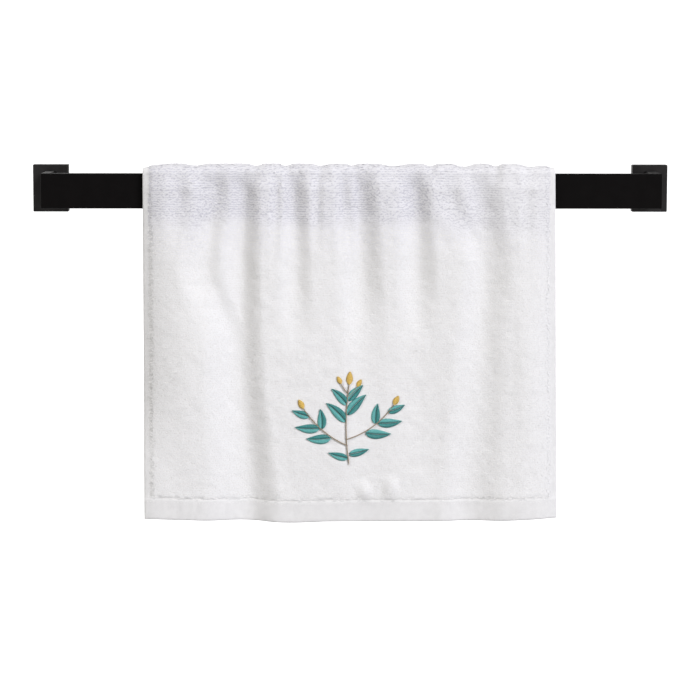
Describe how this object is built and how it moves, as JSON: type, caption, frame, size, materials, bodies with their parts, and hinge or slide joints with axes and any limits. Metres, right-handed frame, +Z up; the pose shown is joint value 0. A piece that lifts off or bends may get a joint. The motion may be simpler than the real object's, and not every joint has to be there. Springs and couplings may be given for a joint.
{
  "type": "hand towel on a towel bar",
  "caption": "White terry hand towel draped evenly over a flat black towel bar with square wall plates; it dries hands beside a basin.",
  "frame": {"origin": "on the wall plane, midway between the two plates and level with the middle of the bar", "axes": "+X along the bar to the right as seen from the room, +Y into the wall, +Z up"},
  "size_m": [0.6354, 0.09, 0.3538],
  "materials": {
    "white_terry": "looped cotton pile, matte, with flat woven hems and selvedges",
    "black_metal": "satin black powder coat on steel",
    "teal_thread": "glossy rayon embroidery thread",
    "gold_thread": "glossy rayon embroidery thread",
    "brown_thread": "glossy rayon embroidery thread"
  },
  "bodies": {
    "root": {"towel": "white_terry", "bar": "black_metal", "return_left": "black_metal", "return_right": "black_metal", "plate_left": "black_metal", "plate_right": "black_metal"}
  },
  "joints": []
}
